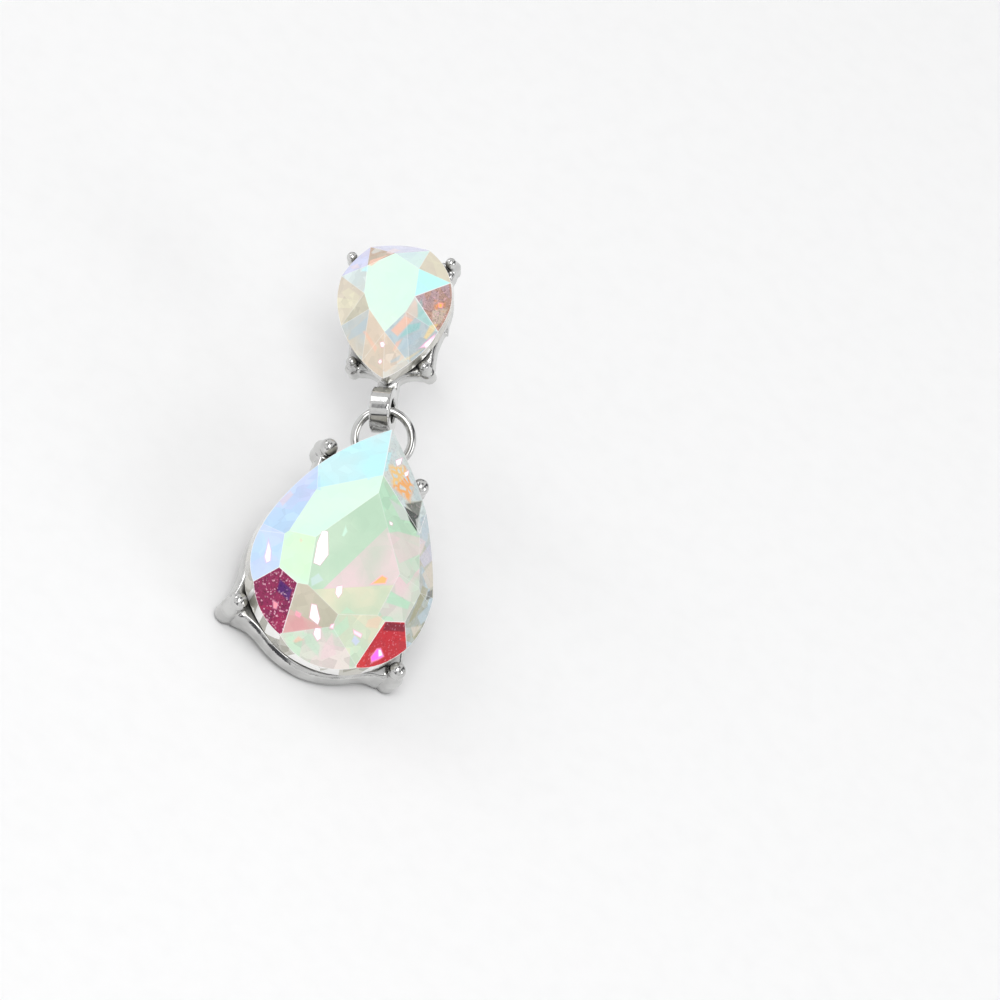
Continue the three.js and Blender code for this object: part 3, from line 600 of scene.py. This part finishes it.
def join_facets(bm):
    """Joins the solid's triangles to whole front facets with clean corners."""
    bmesh.ops.remove_doubles(bm, verts=bm.verts, dist=MERGE)
    corners = [vert for vert in bm.verts if any(crown(face) for face in vert.link_faces)]
    bmesh.ops.remove_doubles(bm, verts=corners, dist=SHORT_EDGE)
    edges = [edge for edge in bm.edges if all(crown(face) for face in edge.link_faces)]
    verts = [vert for vert in bm.verts if all(crown(face) for face in vert.link_faces)]
    bmesh.ops.dissolve_limit(bm, angle_limit=radians(JOIN_ANGLE), verts=verts, edges=edges)


def cut_rims(bm):
    """Cuts a narrow rim into each broad front facet and returns the rims' faces."""
    broad = [face for face in bm.faces if crown(face)
             and 2 * face.calc_area() > BROAD_FACET * face.calc_perimeter()]
    return bmesh.ops.inset_individual(bm, faces=broad, thickness=RIM_WIDTH, use_even_offset=True)["faces"]


def faces_of(bm, facets, facet):
    """The faces of the front facet with an azimuth and slope."""
    return [face for face in bm.faces if crown(face) and nearest(facets, face.normal)[:2] == facet]


def make_stone(name, node, place, facets, patches, materials):
    """A stone with the solid's own facets, a colour on each and a fine painted highlight round its edges."""
    matrix = place_matrix(place) @ Matrix.Scale(MM, 4)
    bm = bmesh.new()
    bm.from_mesh(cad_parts[node].data)
    bm.transform(matrix.inverted())
    tint = bm.loops.layers.float_color.new("tint")
    second = bm.loops.layers.float_color.new("second")
    patchy = bm.faces.layers.float.new("patchy")
    shards_and_sparkle = bm.faces.layers.float.new("shards_and_sparkle")
    edge_highlight = bm.faces.layers.float.new("edge")
    join_facets(bm)
    rims = cut_rims(bm)

    def paint(face, layer, colour):
        for loop in face.loops:
            loop[layer] = rgba(colour)

    for face in bm.faces:
        _, _, colour, other, patch, sparkle = nearest(facets, face.normal)
        paint(face, tint, colour)
        paint(face, second, other)
        face[patchy] = patch
        face[shards_and_sparkle] = sparkle
        if face.normal.z < -FLAT_FACET:
            face.material_index = FOIL_SLOT
        elif not crown(face):
            face.material_index = FLANK_SLOT
            face.smooth = True
    # The rims are painted white as edge highlights, brighter beside busy facets and the flank
    for face in rims:
        beside = {other for edge in face.edges for other in edge.link_faces}
        bright = any(other[shards_and_sparkle] >= BUSY_FACET or other.material_index == FLANK_SLOT for other in beside)
        face[edge_highlight] = BRIGHT_EDGE_HIGHLIGHT if bright else FAINT_EDGE_HIGHLIGHT
    for facet, start, end, colour in patches:
        right_of = split_facet(bm, faces_of(bm, facets, facet), start, end)
        for face in faces_of(bm, facets, facet):
            if right_of(face):
                paint(face, tint, colour)
    mesh = bpy.data.meshes.new(name)
    bm.to_mesh(mesh)
    bm.free()
    for material in materials:
        mesh.materials.append(material)
    return add_object(name, mesh, node, matrix)


def make_casting(name, node, material):
    """A casting: the solid's shape with every edge and joint rounded as molten metal leaves it."""
    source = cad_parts[node]
    rough = bpy.data.objects.new(name + "_rough", source.data.copy())
    bpy.context.scene.collection.objects.link(rough)
    remesh = rough.modifiers.new("remesh", "REMESH")
    remesh.mode = "VOXEL"
    remesh.voxel_size = CASTING_VOXEL * MM
    smooth = rough.modifiers.new("smooth", "SMOOTH")
    smooth.factor = CASTING_SMOOTHING
    smooth.iterations = CASTING_ROUNDS
    depsgraph = bpy.context.evaluated_depsgraph_get()
    mesh = bpy.data.meshes.new_from_object(rough.evaluated_get(depsgraph))
    bpy.data.objects.remove(rough)
    mesh.name = name
    mesh.materials.clear()
    mesh.materials.append(material)
    mesh.polygons.foreach_set("use_smooth", [True] * len(mesh.polygons))
    return add_object(name, mesh, node)


def smooth_mesh(name, vertices, faces, material):
    """A mesh of one material with smooth shading, from points in metres."""
    mesh = bpy.data.meshes.new(name)
    mesh.from_pydata(vertices, [], faces)
    mesh.materials.append(material)
    mesh.polygons.foreach_set("use_smooth", [True] * len(mesh.polygons))
    return mesh


def make_ring(material):
    vertices = []
    for i in range(RING_STEPS):
        turn = 2 * pi * i / RING_STEPS
        for j in range(WIRE_STEPS):
            lean = 2 * pi * j / WIRE_STEPS
            reach = RING_RADIUS + WIRE_RADIUS * cos(lean)
            vertices.append((reach * cos(turn) * MM, reach * sin(turn) * MM, WIRE_RADIUS * sin(lean) * MM))
    faces = []
    for i in range(RING_STEPS):
        here, there = i * WIRE_STEPS, (i + 1) % RING_STEPS * WIRE_STEPS
        for j in range(WIRE_STEPS):
            after = (j + 1) % WIRE_STEPS
            faces.append((here + j, there + j, there + after, here + after))
    mesh = smooth_mesh("ring_wire", vertices, faces, material)
    return add_object("ring_wire", mesh, "jump_ring", place_matrix(RING_PLACE))


def make_post(material):
    """The ear post, turned about its axis from its foot at Z = 0 down to its round tip."""
    groove_floor = POST_RADIUS - POST_GROOVE_DEPTH
    groove = [(POST_RADIUS, -(POST_GROOVE_AT - POST_GROOVE_HALF)),
              (groove_floor, -(POST_GROOVE_AT - POST_GROOVE_HALF / 3)),
              (groove_floor, -(POST_GROOVE_AT + POST_GROOVE_HALF / 3)),
              (POST_RADIUS, -(POST_GROOVE_AT + POST_GROOVE_HALF))]
    tip_start = -(POST_LENGTH - POST_RADIUS)
    turns = [pi / 2 * k / TIP_STEPS for k in range(TIP_STEPS)]
    tip = [(POST_RADIUS * cos(turn), tip_start - POST_RADIUS * sin(turn)) for turn in turns]
    foot = [(NEAR_AXIS, 0), (POST_RADIUS - POST_CHAMFER, 0), (POST_RADIUS, -POST_CHAMFER)]
    profile = [*foot, *groove, *tip, (NEAR_AXIS, tip_start - POST_RADIUS)]
    vertices = []
    for radius, height in profile:
        for i in range(POST_STEPS):
            turn = 2 * pi * i / POST_STEPS
            vertices.append((radius * cos(turn) * MM, radius * sin(turn) * MM, height * MM))
    faces = []
    for row in range(len(profile) - 1):
        here, there = row * POST_STEPS, (row + 1) * POST_STEPS
        for i in range(POST_STEPS):
            after = (i + 1) % POST_STEPS
            faces.append((here + i, here + after, there + after, there + i))
    mesh = smooth_mesh("post_pin", vertices, faces, material)
    bm = bmesh.new()
    bm.from_mesh(mesh)
    bmesh.ops.remove_doubles(bm, verts=bm.verts, dist=MERGE * MM)
    bmesh.ops.recalc_face_normals(bm, faces=bm.faces)
    bm.to_mesh(mesh)
    bm.free()
    matrix = place_matrix(SMALL_PLACE) @ Matrix.Translation(Vector((0, POST_Y, -POST_FOOT)) * MM)
    return add_object("post_pin", mesh, "ear_post", matrix)


def make_floor():
    bpy.ops.mesh.primitive_plane_add(size=FLOOR_SIZE, location=(0, 0, 0))
    floor = bpy.context.object
    floor.name = "floor"
    floor.data.materials.append(floor_material("floor_paper"))


def add_light(name, place, size, power):
    """A soft box that faces the earring."""
    data = bpy.data.lights.new(name, "AREA")
    data.shape = "RECTANGLE"
    data.size, data.size_y = size
    data.energy = power
    light = bpy.data.objects.new(name, data)
    bpy.context.scene.collection.objects.link(light)
    light.location = place
    light.rotation_euler = (-Vector(place)).to_track_quat("-Z", "Y").to_euler()


def make_world():
    """A pale studio with large dark flags here and there, which bright metal reflects as lines."""
    world = bpy.data.worlds.new("studio")
    bpy.context.scene.world = world
    world.use_nodes = True
    tree = world.node_tree
    tree.nodes.clear()
    output = tree.nodes.new("ShaderNodeOutputWorld")
    background = tree.nodes.new("ShaderNodeBackground")
    coordinate = tree.nodes.new("ShaderNodeTexCoord")
    flags = tree.nodes.new("ShaderNodeTexNoise")
    flags.inputs["Scale"].default_value = FLAG_SCALE
    flags.inputs["Detail"].default_value = 0.0
    ramp = tree.nodes.new("ShaderNodeValToRGB")
    dark, bright = ramp.color_ramp.elements
    dark.position, dark.color = FLAG_END, FLAG_SHADE
    bright.position, bright.color = BRIGHT_START, (1, 1, 1, 1)
    tree.links.new(coordinate.outputs["Generated"], flags.inputs["Vector"])
    tree.links.new(flags.outputs[0], ramp.inputs[0])
    tree.links.new(ramp.outputs[0], background.inputs["Color"])
    background.inputs["Strength"].default_value = STUDIO_STRENGTH
    tree.links.new(background.outputs[0], output.inputs["Surface"])


def make_camera():
    right = VIEW_UP.cross(VIEW_FROM).normalized()
    up = VIEW_FROM.cross(right).normalized()
    origin = Vector(BIG_PLACE[0])
    target = (origin + right * VIEW_RIGHT_OF_DROP + up * VIEW_ABOVE_DROP) * MM
    data = bpy.data.cameras.new("camera")
    data.sensor_width = SENSOR
    data.lens = SENSOR * VIEW_DISTANCE / VIEW_SPAN
    data.clip_start = CLIP_START
    camera = bpy.data.objects.new("camera", data)
    bpy.context.scene.collection.objects.link(camera)
    turn = Matrix((right, up, VIEW_FROM.normalized())).transposed().to_4x4()
    turn.translation = target + VIEW_FROM.normalized() * VIEW_DISTANCE * MM
    camera.matrix_world = turn
    bpy.context.scene.camera = camera


bpy.context.scene.view_settings.view_transform = "Standard"
make_camera()
make_world()
make_floor()
for light_row in LIGHTS:
    add_light(*light_row)

bright_plate = metal_material("bright_plate", (0.65, 0.65, 0.64), roughness=0.11, relief=0.03)
wire_plate = metal_material("wire_plate", (0.66, 0.66, 0.65), roughness=0.09, relief=0.01)
post_metal = metal_material("post_metal", (0.72, 0.72, 0.73), roughness=0.2, relief=0.01)
flank = flank_material("clear_flank")
foil = foil_material("foil_back")
big_look = crystal_material("coated_crystal_big", place_matrix(BIG_PLACE), BIG_CELLS, BIG_MARKS,
                            BIG_GLINTS, BIG_NETWORK)
small_look = crystal_material("coated_crystal_small", place_matrix(SMALL_PLACE), SMALL_CELLS, SMALL_MARKS,
                              SMALL_GLINTS, SMALL_NETWORK)

make_stone("big_crystal", "drop_stone", BIG_PLACE, BIG_FACETS, BIG_PATCHES,
           (big_look, flank, foil))
make_stone("small_crystal", "stud_stone", SMALL_PLACE, SMALL_FACETS, SMALL_PATCHES,
           (small_look, flank, foil))
make_casting("big_casting", "drop_setting", bright_plate)
make_casting("small_casting", "stud_setting", bright_plate)
make_ring(wire_plate)
make_post(post_metal)
